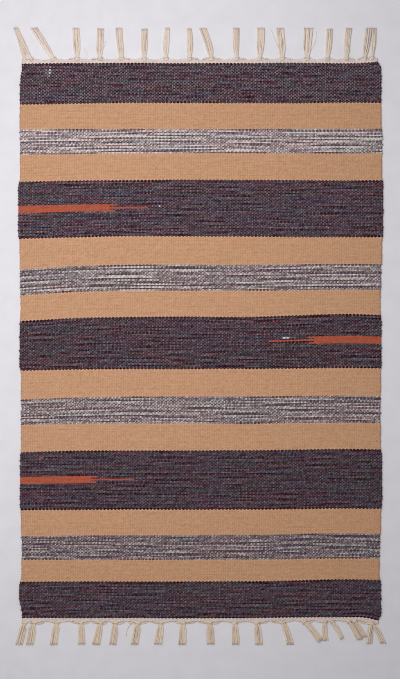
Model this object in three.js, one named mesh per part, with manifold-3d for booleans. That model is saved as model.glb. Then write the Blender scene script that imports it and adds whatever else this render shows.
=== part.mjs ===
// A small flat-woven kilim of cotton yarn, lying flat on a floor, with its warp ends knotted into a fringe.
// Millimetres. X runs across the rug, +Y along it to its far end, +Z up. The origin is on the floor at the
// middle of the whole rug, fringe and all.
import * as THREE from "three";
import { mergeVertices } from "three/addons/utils/BufferGeometryUtils.js";
import Module from "manifold-3d";

const wasm = await Module();
wasm.setup();

// How far the fringe reaches past the cloth at each end.
const FRINGE_FAR = 58;
const FRINGE_NEAR = 43.5;

// The stripes of the cloth from the far end to the near one. length is along the warp, left and right are the
// selvedges' distances from the rug's middle line, thick is the cloth's thickness there, and leftWander and
// rightWander say how far the stripe's near edge strays along Y at the left selvedge and right of the middle.
const STRIPES = [
  { name: "dark 1", length: 66, left: 298.8, right: 298.5, thick: 4.2, leftWander: -2.8, rightWander: 0.2 },
  { name: "tan 1", length: 43, left: 299, right: 298.3, thick: 3.6, leftWander: -0.8, rightWander: 0.3 },
  { name: "marl 1", length: 40, left: 298.8, right: 300.3, thick: 3.9, leftWander: -3.1, rightWander: -0.3 },
  { name: "tan 2", length: 44, left: 298.5, right: 299.5, thick: 3.6, leftWander: -3.2, rightWander: -0.8 },
  { name: "dark 2", length: 93, left: 301.6, right: 301.6, thick: 4.2, leftWander: -4.0, rightWander: -1.5 },
  { name: "tan 3", length: 47, left: 299.1, right: 299.5, thick: 3.6, leftWander: -7.6, rightWander: 1.6 },
  { name: "marl 2", length: 42.5, left: 298.5, right: 297.7, thick: 3.9, leftWander: -7.6, rightWander: 1.8 },
  { name: "tan 4", length: 43, left: 297.7, right: 297, thick: 3.6, leftWander: -7.3, rightWander: 4.1 },
  { name: "dark 3", length: 86, left: 299.5, right: 298.7, thick: 4.2, leftWander: -2.9, rightWander: 1.7 },
  { name: "tan 5", length: 45.5, left: 296.7, right: 297.5, thick: 3.6, leftWander: -5.4, rightWander: 1.7 },
  { name: "marl 3", length: 44.5, left: 296.5, right: 297.2, thick: 3.9, leftWander: -1.7, rightWander: 1.1 },
  { name: "tan 6", length: 44.5, left: 296.8, right: 297.3, thick: 3.6, leftWander: -2.9, rightWander: 2.1 },
  { name: "dark 4", length: 97, left: 298.5, right: 299.6, thick: 4.2, leftWander: -1.2, rightWander: 1.3 },
  { name: "tan 7", length: 42.5, left: 296.8, right: 297.7, thick: 3.6, leftWander: -2.1, rightWander: 3.2 },
  { name: "marl 4", length: 40.5, left: 295.8, right: 295.8, thick: 3.9, leftWander: 0.4, rightWander: 2.4 },
  { name: "tan 8", length: 36, left: 296.2, right: 295.4, thick: 3.6, leftWander: -0.6, rightWander: 3.2 },
  { name: "dark 5", length: 60.5, left: 299.5, right: 297, thick: 4.2, leftWander: 0.4, rightWander: 1.9 },
];

// The four corners draw in a little, and the two right-hand ones also flare out along the warp.
const FAR_END = { left: 295.4, right: 292, leftWander: -1.2, rightWander: 0, flare: 2.5 };
const NEAR_END = { left: 296, right: 294, leftWander: 0.4, rightWander: 1.9, flare: -5.5 };
const FLARE_WIDTH = 0.12;

// The cloth's rim is rounded: its faces step down by RIM_DROP over the last RIM_RUN, and the selvedge's
// middle bulges past both faces by SELVEDGE_BULGE.
const RIM_DROP = 0.9;
const RIM_RUN = 4;
const SELVEDGE_BULGE = 1;
const CLOTH_COLUMNS = 14;

// Each end's header is the strip of warp yarn where the ends swing over to their knots.
const GAP = 0.3;
const HEADER_THICK = 2.8;
const HEADER_BETWEEN = 5;
const HEADER_AT_KNOT = 8;
const HEADER_STEPS = 72;

// A knot gathers about a dozen warp ends, which hang on from it in two or three locks.
const KNOT = { width: 10, length: 8, height: 5.2, inset: 7 };
const LOCK = { width: 3.1, height: 3.4, pitch: 3.6, steps: 4, gather: 0.22 };

// One row for each tassel, from left to right. root and tip are its distances from the middle line, bend is
// how far its middle swings sideways, short is how far its tip stops before the fringe's full reach.
const FAR_TASSELS = [
  { root: -288.5, tip: -304, bend: -1, short: 0, locks: 2 },
  { root: -277.5, tip: -296.5, bend: -1, short: 1, locks: 2 },
  { root: -242, tip: -271.5, bend: 1, short: 0.5, locks: 3 },
  { root: -203.5, tip: -205.5, bend: 1.5, short: 0, locks: 3 },
  { root: -165.5, tip: -164, bend: -1.5, short: 1, locks: 3 },
  { root: -130, tip: -134.5, bend: -1, short: 0, locks: 3 },
  { root: -93, tip: -92.5, bend: 1, short: 1.5, locks: 3 },
  { root: -57, tip: -54.5, bend: -1.5, short: 0, locks: 3 },
  { root: -18, tip: -18.5, bend: 1, short: 1, locks: 3 },
  { root: 20, tip: 6, bend: 4, short: 0.5, locks: 3 },
  { root: 60, tip: 58.5, bend: -1, short: 0, locks: 3 },
  { root: 99, tip: 101.5, bend: 1, short: 0.5, locks: 3 },
  { root: 136, tip: 133, bend: 1, short: 1, locks: 3 },
  { root: 176, tip: 177.5, bend: -1, short: 0, locks: 3 },
  { root: 209.5, tip: 213.5, bend: 1, short: 1.5, locks: 3 },
  { root: 241, tip: 245, bend: -1, short: 0.5, locks: 3 },
  { root: 270.5, tip: 277.5, bend: -1, short: 0, locks: 2 },
  { root: 283, tip: 288.5, bend: 1.5, short: 1, locks: 2 },
];
const NEAR_TASSELS = [
  { root: -289, tip: -297.5, bend: 0.5, short: 1, locks: 2 },
  { root: -274, tip: -280, bend: 0, short: 0, locks: 3 },
  { root: -236.5, tip: -241, bend: 0.5, short: 1, locks: 3 },
  { root: -197, tip: -196, bend: 0.5, short: 0.5, locks: 3 },
  { root: -165, tip: -172.5, bend: 0, short: 0, locks: 3 },
  { root: -140, tip: -143.5, bend: 0.5, short: 1, locks: 2 },
  { root: -103, tip: -109.5, bend: 0, short: 0, locks: 3 },
  { root: -65, tip: -69, bend: 0.5, short: 0.5, locks: 3 },
  { root: -28.5, tip: -30.5, bend: 0, short: 0, locks: 3 },
  { root: 16, tip: 18, bend: 0.5, short: 0.5, locks: 3 },
  { root: 56.5, tip: 58, bend: 0, short: 0, locks: 3 },
  { root: 94.5, tip: 98, bend: 0.5, short: 1, locks: 3 },
  { root: 137.5, tip: 149, bend: 1, short: 0, locks: 3 },
  { root: 171.5, tip: 196.5, bend: 1.5, short: 5.5, locks: 3 },
  { root: 205.5, tip: 205.5, bend: -1.5, short: 6, locks: 2 },
  { root: 217, tip: 233.5, bend: 1, short: 9, locks: 2 },
  { root: 245, tip: 261.5, bend: 0.5, short: 6.5, locks: 2 },
  { root: 254.5, tip: 270, bend: 1, short: 11, locks: 2 },
  { root: 281, tip: 277.5, bend: -0.5, short: 1.5, locks: 2 },
  { root: 288, tip: 305.5, bend: 1, short: 4, locks: 2 },
];

const clothLength = STRIPES.reduce((sum, stripe) => sum + stripe.length, 0);
const wholeLength = clothLength + FRINGE_FAR + FRINGE_NEAR;
const farEdge = wholeLength / 2 - FRINGE_FAR;

// The rug's rows from the far end to the near one: its two ends, a row just inside each of them, and each
// stripe's middle and near edge.
function clothRows() {
  const first = STRIPES[0];
  const last = STRIPES[STRIPES.length - 1];
  const rows = [
    { ...FAR_END, y: farEdge, thick: first.thick - RIM_DROP },
    { ...FAR_END, y: farEdge - RIM_RUN, thick: first.thick },
  ];
  let y = farEdge;
  let wander = FAR_END;
  STRIPES.forEach((stripe, i) => {
    const next = STRIPES[i + 1] ?? stripe;
    rows.push({
      y: y - stripe.length / 2,
      left: stripe.left,
      right: stripe.right,
      thick: stripe.thick,
      leftWander: (wander.leftWander + stripe.leftWander) / 2,
      rightWander: (wander.rightWander + stripe.rightWander) / 2,
      flare: 0,
    });
    y -= stripe.length;
    wander = stripe;
    if (next !== stripe) {
      rows.push({
        y,
        left: (stripe.left + next.left) / 2,
        right: (stripe.right + next.right) / 2,
        thick: (stripe.thick + next.thick) / 2,
        leftWander: stripe.leftWander,
        rightWander: stripe.rightWander,
        flare: 0,
      });
    }
  });
  rows.push({ ...NEAR_END, y: y + RIM_RUN, thick: last.thick });
  rows.push({ ...NEAR_END, y, thick: last.thick - RIM_DROP });
  return rows;
}

// A weft strays from its straight line at both sides: across is -1 at the left selvedge and 1 at the right.
function strayAlongWarp(row, across) {
  const leftShare = THREE.MathUtils.clamp((-0.28 - across) / 0.72, 0, 1) ** 2;
  const rise = THREE.MathUtils.smoothstep(across, 0.22, 0.8);
  const rightShare = rise - 0.25 * THREE.MathUtils.smoothstep(across, 0.85, 1);
  const corner = THREE.MathUtils.clamp((across - 1 + FLARE_WIDTH) / FLARE_WIDTH, 0, 1) ** 2;
  return row.leftWander * leftShare + row.rightWander * rightShare + row.flare * corner;
}

function pointOnRow(row, across) {
  const x = across < 0 ? across * row.left : across * row.right;
  return new THREE.Vector2(x, row.y + strayAlongWarp(row, across));
}

// Columns are even across the rug, with one more just inside each selvedge for the rounded rim.
function columnPlaces() {
  const rim = RIM_RUN / STRIPES[0].left;
  const places = [-1];
  for (let i = 0; i <= CLOTH_COLUMNS; i++) {
    places.push((1 - rim) * (2 * i / CLOTH_COLUMNS - 1));
  }
  places.push(1);
  return places;
}

const rows = clothRows();
const columns = columnPlaces();

function solidFrom(geometry) {
  geometry.deleteAttribute("normal");
  geometry.deleteAttribute("uv");
  const merged = mergeVertices(geometry, 1e-4);
  return new wasm.Manifold(
    new wasm.Mesh({
      numProp: 3,
      vertProperties: new Float32Array(merged.attributes.position.array),
      triVerts: new Uint32Array(merged.index.array),
    }),
  );
}

function geometryFrom(solid) {
  const mesh = solid.getMesh();
  const geometry = new THREE.BufferGeometry();
  geometry.setAttribute("position", new THREE.BufferAttribute(mesh.vertProperties, 3));
  geometry.setIndex(new THREE.BufferAttribute(mesh.triVerts, 1));
  geometry.computeVertexNormals();
  return geometry;
}

// The cloth is one box whose grid of points is moved to the rows and columns above.
function clothGeometry() {
  const geometry = new THREE.BoxGeometry(1, 1, 1, columns.length - 1, rows.length - 1, 2);
  const position = geometry.attributes.position;
  for (let i = 0; i < position.count; i++) {
    const column = Math.round((position.getX(i) + 0.5) * (columns.length - 1));
    const row = rows[Math.round((0.5 - position.getY(i)) * (rows.length - 1))];
    const layer = Math.round((position.getZ(i) + 0.5) * 2);
    const place = pointOnRow(row, columns[column]);
    const side = Math.sign(columns[column]);
    const atSelvedge = column === 0 || column === columns.length - 1;
    const drop = atSelvedge && layer === 2 ? RIM_DROP : 0;
    const bulge = atSelvedge && layer === 1 ? side * SELVEDGE_BULGE : 0;
    position.setXYZ(i, place.x + bulge, place.y, (row.thick * layer) / 2 - drop);
  }
  geometry.computeVertexNormals();
  return geometry;
}

// The strip of slanting warp yarn beside an end of the cloth, deeper where a knot pulls it out.
function headerGeometry(row, outward, tassels) {
  const inner = columns.map((across) => pointOnRow(row, across).add(new THREE.Vector2(0, outward * GAP)));
  const outer = [];
  for (let i = HEADER_STEPS; i >= 0; i--) {
    const across = (2 * i) / HEADER_STEPS - 1;
    const place = pointOnRow(row, across);
    const pull = Math.max(...tassels.map((tassel) => Math.exp(-(((place.x - tassel.root) / 9) ** 2))));
    place.y += outward * (HEADER_BETWEEN + (HEADER_AT_KNOT - HEADER_BETWEEN) * pull);
    outer.push(place);
  }
  const shape = new THREE.Shape([...inner, ...outer]);
  return new THREE.ExtrudeGeometry(shape, { depth: HEADER_THICK, bevelEnabled: false });
}

// A knot is a lump that lies flat on the floor.
function knotGeometry(place) {
  const geometry = new THREE.SphereGeometry(0.5, 7, 5);
  geometry.rotateX(Math.PI / 2);
  const position = geometry.attributes.position;
  for (let i = 0; i < position.count; i++) {
    const height = Math.max(0, position.getZ(i) + 0.3) / 0.8;
    position.setXYZ(
      i,
      place.x + position.getX(i) * KNOT.width,
      place.y + position.getY(i) * KNOT.length,
      height * KNOT.height,
    );
  }
  return geometry;
}

// A small whole number that differs from lock to lock, for uneven ends.
function unevenness(tassel, lock) {
  return (tassel * 5 + lock * 3) % 4;
}

// One lock: a four-sided strand along the tassel's curve, at its own place in the bunch. The maker trims the
// whole fringe along one line, trimAt, which cuts a slanting lock square to the rug.
function lockGeometry(curve, spot, shorter, outward, trimAt) {
  const geometry = new THREE.BoxGeometry(1, 1, 1, 1, LOCK.steps, 1);
  const position = geometry.attributes.position;
  const reach = 1 - shorter / curve.getLength();
  for (let i = 0; i < position.count; i++) {
    const along = position.getY(i) + 0.5;
    const centre = curve.getPoint(along * reach);
    const tangent = curve.getTangent(along * reach);
    const spread = THREE.MathUtils.smoothstep(along, 0, LOCK.gather);
    const aside = spot * LOCK.pitch * spread + position.getX(i) * LOCK.width;
    const y = centre.y - tangent.x * aside;
    const trimmed = outward * Math.min(outward * y, outward * trimAt);
    position.setXYZ(i, centre.x + tangent.y * aside, trimmed, (position.getZ(i) + 0.5) * LOCK.height);
  }
  return geometry;
}

// An end's whole fringe: header, knots and locks in one solid. outward is 1 at the far end, -1 at the near.
function fringeGeometry(row, outward, tassels, reach) {
  const trimAt = row.y + outward * reach;
  let solid = solidFrom(headerGeometry(row, outward, tassels));
  tassels.forEach((tassel, number) => {
    const across = tassel.root < 0 ? tassel.root / row.left : tassel.root / row.right;
    const rootY = row.y + strayAlongWarp(row, across);
    const knot = new THREE.Vector2(tassel.root, rootY + outward * KNOT.inset);
    const tip = new THREE.Vector2(tassel.tip, trimAt - outward * tassel.short);
    const bow = new THREE.Vector2((knot.x + tip.x) / 2 + tassel.bend, (knot.y + tip.y) / 2);
    const curve = new THREE.QuadraticBezierCurve(knot, bow, tip);
    solid = solid.add(solidFrom(knotGeometry(knot)));
    for (let lock = 0; lock < tassel.locks; lock++) {
      const spot = lock - (tassel.locks - 1) / 2;
      const shorter = unevenness(number, lock);
      solid = solid.add(solidFrom(lockGeometry(curve, spot, shorter, outward, trimAt)));
    }
  });
  return geometryFrom(solid);
}

function yarnMaterial(color, roughness) {
  return new THREE.MeshStandardMaterial({ color, roughness, metalness: 0 });
}

const cloth = new THREE.Mesh(clothGeometry(), yarnMaterial(0xa98365, 0.95));
cloth.name = "rug_cloth";

const farFringe = new THREE.Mesh(
  fringeGeometry(rows[0], 1, FAR_TASSELS, FRINGE_FAR),
  yarnMaterial(0xe2cdb5, 0.9),
);
farFringe.name = "fringe_far";

const nearFringe = new THREE.Mesh(
  fringeGeometry(rows[rows.length - 1], -1, NEAR_TASSELS, FRINGE_NEAR),
  yarnMaterial(0xdcc5a6, 0.9),
);
nearFringe.name = "fringe_near";

const rug = new THREE.Group();
rug.add(cloth, farFringe, nearFringe);

export default rug;
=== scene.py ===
# %% [markdown]
# A small flat-woven kilim
#
# The rug is a plain weave in which the weft hides the warp: thick cotton yarn goes over one warp end and
# under the next, beaten down so hard that only its lens-shaped floats show. Seventeen stripes follow each
# other along the cloth, and at both ends the bare warp ends are knotted into tassels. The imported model
# gives the frame: the cloth's outline and thickness, and where each tassel lies.

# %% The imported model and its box
import math
from collections import namedtuple

import bpy
import numpy as np
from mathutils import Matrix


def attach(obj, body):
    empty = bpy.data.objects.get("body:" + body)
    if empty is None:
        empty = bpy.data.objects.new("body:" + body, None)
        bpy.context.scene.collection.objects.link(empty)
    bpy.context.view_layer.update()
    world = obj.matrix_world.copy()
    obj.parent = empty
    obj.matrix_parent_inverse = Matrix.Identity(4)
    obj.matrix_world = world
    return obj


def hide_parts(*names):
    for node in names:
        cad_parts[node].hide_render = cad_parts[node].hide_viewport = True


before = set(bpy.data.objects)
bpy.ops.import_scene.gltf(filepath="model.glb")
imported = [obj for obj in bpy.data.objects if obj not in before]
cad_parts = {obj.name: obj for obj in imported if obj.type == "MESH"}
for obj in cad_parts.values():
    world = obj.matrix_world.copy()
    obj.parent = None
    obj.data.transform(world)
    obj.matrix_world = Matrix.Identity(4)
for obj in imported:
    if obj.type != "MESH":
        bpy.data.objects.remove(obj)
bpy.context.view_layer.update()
MM = 0.001

# %% [markdown]
# The camera
#
# The rug was photographed from straight above with a long lens, so nothing shows in perspective. A camera
# that is neither turned nor tilted looks straight down in Blender. Its distance follows from the lens and
# from the length of floor that the tall side of the picture takes in.

# %% The camera above the rug
# The view is in millimetres on the floor, and the lens and its sensor in millimetres too.
VIEW_CENTRE = (-0.7, -5.4)
VIEW_LENGTH = 1120.35
SENSOR_WIDTH = 36.0
LENS = 100.0

camera_data = bpy.data.cameras.new("camera")
camera_data.sensor_width = SENSOR_WIDTH
camera_data.lens = LENS
camera = bpy.data.objects.new("camera", camera_data)
camera_height = VIEW_LENGTH * MM * LENS / SENSOR_WIDTH
camera.location = (VIEW_CENTRE[0] * MM, VIEW_CENTRE[1] * MM, camera_height)
bpy.context.scene.collection.objects.link(camera)
bpy.context.scene.camera = camera
print("the camera's height, in m:", round(camera_height, 2))

# %% [markdown]
# Sizes of the weave
#
# The warp is set at three millimetres, which makes two hundred ends across the rug. The weft is beaten
# closer than that, and each kind of yarn packs differently: the dark yarn is the thickest and the tan one
# the thinnest. All the tables are in millimetres. A narrow header of plain cotton closes the cloth at each
# end, before the fringe.

# %% Yarns and stripes
WARPS = 200

# thick is the cloth's thickness, relief how far a float stands above the cloth's middle level, rib how far
# the cloth sinks between two warp ends, lean the share of a pick by which a float pushes its neighbours
# aside, and turn how far the weft's turns stand out at a selvedge.
Yarn = namedtuple("Yarn", "thick relief rib lean turn")
YARNS = {
    "dark": Yarn(thick=4.2, relief=0.44, rib=0.06, lean=0.25, turn=1.3),
    "tan": Yarn(thick=3.6, relief=0.16, rib=0.14, lean=0.2, turn=0.8),
    "marl": Yarn(thick=3.9, relief=0.38, rib=0.08, lean=0.2, turn=1.9),
    "header": Yarn(thick=2.8, relief=0.32, rib=0.1, lean=0.22, turn=0.4),
}

# picks says how many picks the stripe has, and length how far it reaches along the rug. left and right are
# the selvedges' distances from the middle line. left_wander and right_wander say how far the stripe's near
# edge strays along the rug at the left selvedge and right of the middle.
Stripe = namedtuple("Stripe", "name yarn picks length left right left_wander right_wander")
STRIPES = [
    Stripe("dark_1", "dark", 27, 66, 298, 298.5, -2.8, 0.2),
    Stripe("tan_1", "tan", 21, 43, 298.2, 298.3, -0.8, 0.3),
    Stripe("marl_1", "marl", 17, 40, 298, 300.3, -3.1, -0.3),
    Stripe("tan_2", "tan", 21, 44, 297.7, 299.5, -3.2, -0.8),
    Stripe("dark_2", "dark", 40, 93, 300.8, 301.6, -4.0, -1.5),
    Stripe("tan_3", "tan", 23, 47, 298.3, 299.5, -7.6, 1.6),
    Stripe("marl_2", "marl", 18, 42.5, 297.7, 297.7, -7.6, 1.8),
    Stripe("tan_4", "tan", 21, 43, 296.9, 297, -7.3, 4.1),
    Stripe("dark_3", "dark", 37, 86, 298.7, 298.7, -2.9, 1.7),
    Stripe("tan_5", "tan", 22, 45.5, 295.9, 297.5, -5.4, 1.7),
    Stripe("marl_3", "marl", 19, 44.5, 295.7, 297.2, -1.7, 1.1),
    Stripe("tan_6", "tan", 22, 44.5, 296, 297.3, -2.9, 2.1),
    Stripe("dark_4", "dark", 42, 97, 297.7, 299.6, -1.2, 1.3),
    Stripe("tan_7", "tan", 21, 42.5, 296, 297.7, -2.1, 3.2),
    Stripe("marl_4", "marl", 18, 40.5, 295, 295.8, 0.4, 2.4),
    Stripe("tan_8", "tan", 17, 36, 295.4, 295.4, -0.6, 3.2),
    Stripe("dark_5", "dark", 26, 60.5, 299.5, 298, 0.4, 1.9),
]

# The corners draw in a little, and the two right-hand ones also flare out along the warp, over FLARE_WIDTH of
# half the rug's width and FLARE_RUN along it.
HEADER_PICKS = 3
HEADER_LENGTH = 5.1
FAR_HEADER = Stripe("header_far", "header", HEADER_PICKS, HEADER_LENGTH, 294.5, 292.5, -1.2, 0)
NEAR_HEADER = Stripe("header_near", "header", HEADER_PICKS, HEADER_LENGTH, 294.2, 294, 0.4, 1.9)
FAR_FLARE = 2.5
NEAR_FLARE = -5.5
FLARE_WIDTH = 0.12
FLARE_RUN = 30

BANDS = [FAR_HEADER, *STRIPES, NEAR_HEADER]
pick_edges = np.concatenate([[0], np.cumsum([band.picks for band in BANDS])])
down_edges = np.concatenate([[0], np.cumsum([band.length for band in BANDS])])
PICKS = int(pick_edges[-1])
print("picks in all:", PICKS, "over", round(down_edges[-1], 1), "mm")

# %% [markdown]
# Where a point of the weave lies
#
# Every point of the cloth is named by the yarns that meet there: how many warp ends it is from the left
# selvedge, and how many picks from the far end. Two short functions turn that into a place on the floor.
# Between two stripes the width changes over a few picks, because the thick dark yarn pushes the selvedges
# out and the thin tan yarn lets them in.

# %% From warps and picks to millimetres
# FRINGE_FAR and FRINGE_NEAR are how far the tassels reach beyond the cloth, and SELVEDGE is how wide the
# turns of the weft are. The eases and runs are the lengths over which the width and the thickness change.
FRINGE_FAR = 58
FRINGE_NEAR = 43.5
WIDTH_EASE = 9
THICKNESS_EASE = 3
LEFT_CORNER_RUN = 40
RIGHT_CORNER_RUN = 9
RIM_RUN = 4
SELVEDGE = 1.6

# Where a pick begins to stray, and where it has strayed in full: -1 is the left selvedge and 1 the right one.
# Towards the right selvedge it comes a quarter of the way back.
LEFT_STRAY = -0.28
RIGHT_STRAY = (0.22, 0.8)
RIGHT_RETURN = (0.85, 1)
RETURN_SHARE = 0.25

cloth_length = sum(stripe.length for stripe in STRIPES)
whole_length = cloth_length + FRINGE_FAR + FRINGE_NEAR
far_edge = whole_length / 2 - FRINGE_FAR
near_edge = far_edge - cloth_length
start_y = far_edge + HEADER_LENGTH


def eased(at, keys):
    """Goes from key to key, each a place and a value, with a soft start and stop in between."""
    places, values = np.array(keys, float).T
    number = np.clip(np.searchsorted(places, at) - 1, 0, len(places) - 2)
    share = np.clip((at - places[number]) / (places[number + 1] - places[number]), 0, 1)
    return values[number] + (values[number + 1] - values[number]) * share * share * (3 - 2 * share)


def band_keys(value, ease, ends_run):
    """Keys that hold a band's value along the band and change it over ease at each stripe's edge."""
    keys = [(0, value(BANDS[0])), (down_edges[1], value(BANDS[0]))]
    keys.append((down_edges[1] + ends_run, value(BANDS[1])))
    for i in range(2, len(BANDS) - 1):
        keys.append((down_edges[i] - ease, value(BANDS[i - 1])))
        keys.append((down_edges[i] + ease, value(BANDS[i])))
    keys.append((down_edges[-2] - ends_run, value(BANDS[-2])))
    keys += [(down_edges[-2], value(BANDS[-1])), (down_edges[-1], value(BANDS[-1]))]
    return keys


LEFT_KEYS = band_keys(lambda band: band.left, WIDTH_EASE, LEFT_CORNER_RUN)
RIGHT_KEYS = band_keys(lambda band: band.right, WIDTH_EASE, RIGHT_CORNER_RUN)
THICK_KEYS = band_keys(lambda band: YARNS[band.yarn].thick, THICKNESS_EASE, RIM_RUN)


def rise(at, start, end):
    """0 before start and 1 after end, with a soft step between."""
    share = np.clip((at - start) / (end - start), 0, 1)
    return share * share * (3 - 2 * share)


def stray(across, down):
    """How far a pick strays along the rug. across is -1 at the left selvedge and 1 at the right one."""
    edges = [FAR_HEADER, *BANDS]
    left_wander = np.interp(down, down_edges, [band.left_wander for band in edges])
    right_wander = np.interp(down, down_edges, [band.right_wander for band in edges])
    flare_places = [HEADER_LENGTH, FLARE_RUN, down_edges[-2] - FLARE_RUN, down_edges[-2]]
    flare = np.interp(down, flare_places, [FAR_FLARE, 0, 0, NEAR_FLARE])
    left_share = np.clip((LEFT_STRAY - across) / (1 + LEFT_STRAY), 0, 1) ** 2
    right_share = rise(across, *RIGHT_STRAY) - RETURN_SHARE * rise(across, *RIGHT_RETURN)
    corner = np.clip((across - 1 + FLARE_WIDTH) / FLARE_WIDTH, 0, 1) ** 2
    return left_wander * left_share + right_wander * right_share + flare * corner


def place(warp, pick, inset=SELVEDGE):
    """The place of a point of the weave, and how far down the rug it is, in millimetres."""
    across = 2 * warp / WARPS - 1
    down = np.interp(pick, pick_edges, down_edges)
    half = np.where(across < 0, eased(down, LEFT_KEYS), eased(down, RIGHT_KEYS)) - inset
    return across * half, start_y - down + stray(across, down), down


corner_x, corner_y, _ = place(0, HEADER_PICKS, inset=0)
print("the far left corner of the cloth, in mm:", round(float(corner_x), 1), round(float(corner_y), 1))

# %% [markdown]
# The floats as a mesh
#
# Each float could be an object of its own, but eighty thousand of them would be slow and would gape. The
# whole face is one grid instead, with a row of points along the middle of every pick and along every
# groove between two picks, and a column at every warp end and between every two. A cosine lifts the middle
# of a pick where it goes over a warp end and sinks it where it goes under. Grooves bend around the floats,
# and most of all where two stripes meet, because there the floats of one yarn bulge out between those of the
# other. That gives the edges of the stripes their teeth.

# %% The height of the face
# The leans and the push are shares of a pick: how far the groove at a stripe's edge bends around the floats,
# and how far the picks on both sides of it give way. The depth and the dip are shares of the relief: how deep
# a groove lies, and how much deeper beside the middle of a float.
EDGE_LEAN = 0.48
NEAR_HEADER_LEAN = 0.35
EDGE_PUSH = 0.18
GROOVE_DEPTH = 0.22
GROOVE_DIP = 0.4

# Handwork is uneven. Each kind of unevenness has its reach in millimetres, or in shares of the relief for
# FLOAT_SINK, and the rows and columns of points over which it goes from one value to the next. WARP_JITTER is
# every warp end's own, and the drift of the rows fades out over SELVEDGE_FADE warp ends at a selvedge.
Uneven = namedtuple("Uneven", "reach rows columns")
ROW_DRIFT = Uneven(0.55, 16, 60)
WARP_DRIFT = Uneven(0.4, 90, 20)
PICK_JITTER = Uneven(0.12, 1, 24)
FLOAT_SINK = Uneven(0.12, 3, 5)
WARP_JITTER = 0.16
SELVEDGE_FADE = 20
CLOTH_SEED = 7


def drift(uneven):
    """A smooth unevenness over the whole face, to both sides as far as it reaches."""
    rows, columns = grid_shape
    knots = rng.uniform(-1, 1, (rows // uneven.rows + 2, columns // uneven.columns + 2))
    across_at = np.arange(columns) / uneven.columns
    down_at = np.arange(rows) / uneven.rows
    rough = np.array([eased(across_at, list(enumerate(line))) for line in knots])
    return uneven.reach * np.array([eased(down_at, list(enumerate(line))) for line in rough.T]).T


def over(warp, pick):
    """1 where the pick lies over a warp end, -1 where it lies under one."""
    return np.cos(np.pi * (warp - 0.5 + pick))


def of_rows(measure):
    """One measure of the yarn that each row of points is woven with, as a column."""
    return np.array([getattr(YARNS[BANDS[i].yarn], measure) for i in band_of_row])[:, None]


rng = np.random.default_rng(CLOTH_SEED)
warp_at, pick_at = np.meshgrid(np.arange(2 * WARPS + 1) / 2, np.arange(2 * PICKS + 1) / 2)
grid_shape = warp_at.shape
in_groove = pick_at == np.floor(pick_at)
wave = over(warp_at, np.floor(pick_at))
band_of_row = np.clip(np.searchsorted(pick_edges, pick_at[:, 0], side="right") - 1, 0, len(BANDS) - 1)
relief = of_rows("relief")
lean = np.where(in_groove[:, :1], of_rows("lean"), 0)
stripe_edges = 2 * pick_edges[1:-1]
lean[stripe_edges] = EDGE_LEAN
lean[stripe_edges[-1]] = NEAR_HEADER_LEAN
lean[stripe_edges - 1] = -EDGE_PUSH
lean[stripe_edges + 1] = EDGE_PUSH

bent_pick = pick_at - lean * wave
face_x, face_y, face_down = place(warp_at, bent_pick)
face_y += drift(ROW_DRIFT) * rise(np.minimum(warp_at, WARPS - warp_at), 0, SELVEDGE_FADE)
face_x += drift(WARP_DRIFT) * np.sin(np.pi * warp_at / WARPS)
face_x += WARP_JITTER * rng.uniform(-1, 1, grid_shape[1])[None, :]
face_y += drift(PICK_JITTER)

thick = eased(face_down, THICK_KEYS)
middle_height = thick - relief + relief * wave
groove_height = thick - relief * (1 + GROOVE_DEPTH + GROOVE_DIP * wave * wave)
face_z = np.where(in_groove, groove_height, middle_height)
face_z -= of_rows("rib") * (warp_at == np.floor(warp_at))
face_z -= relief * (FLOAT_SINK.reach + drift(FLOAT_SINK))
print("points of the face:", face_x.size)
print("lowest and highest, in mm:", face_z.min().round(2), face_z.max().round(2))

# %% [markdown]
# Closing the cloth
#
# A weave has two faces, so the underside gets floats as well. Where the upper face goes under a warp end,
# the lower face shows a float, which rests on the floor. The underside is hardly seen, and one point for
# each crossing is enough there. At the selvedges the weft turns back around the last warp end, every
# second pick. Each turn stands out a little, some more than others, and the loose marl yarn's the most.

# %% Selvedges and underside
# A selvedge has three columns of points. SIDE_HEIGHTS are their shares of the thickness, SIDE_INSETS how far
# each stands back from the outermost one, and SIDE_WARPS by how many warp ends the map of the yarn counts
# them further out. The dip and the sizes of the turns are shares of the yarn's own turn. UNDER_RIM is the
# height of the underside's rim, as a share of its relief.
SIDE_HEIGHTS = np.array([0.8, 0.5, 0.2])
SIDE_INSETS = np.array([0.5, 0, 0.5])
SIDE_WARPS = np.array([0.2, 0.4, 0.6])
TURN_DIP = 0.75
TURN_SIZES = (0.1, 1.7)
TURN_ROUND = 0.6
UNDER_RELIEF = 0.36
UNDER_RIM = 0.8


def selvedge_points(side):
    """Three columns of points down the outside of a selvedge. side is -1 for the left and 1 for the right."""
    pick = pick_at[:, :1] + 0 * SIDE_WARPS
    edge = WARPS * (side + 1) / 2 + 0 * pick
    x, y, down = place(edge, pick, inset=0)
    size = rng.uniform(*TURN_SIZES, PICKS)[np.floor(pick / 2 + (1 + side) / 4).astype(int)]
    profile = (0.5 * (1 + side * np.cos(np.pi * pick))) ** TURN_ROUND
    bulge = of_rows("turn") * (size * profile - TURN_DIP)
    height = eased(down, THICK_KEYS) * SIDE_HEIGHTS
    return np.stack([x + side * (bulge - SIDE_INSETS), y, height], axis=-1), edge + side * SIDE_WARPS, pick


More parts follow.
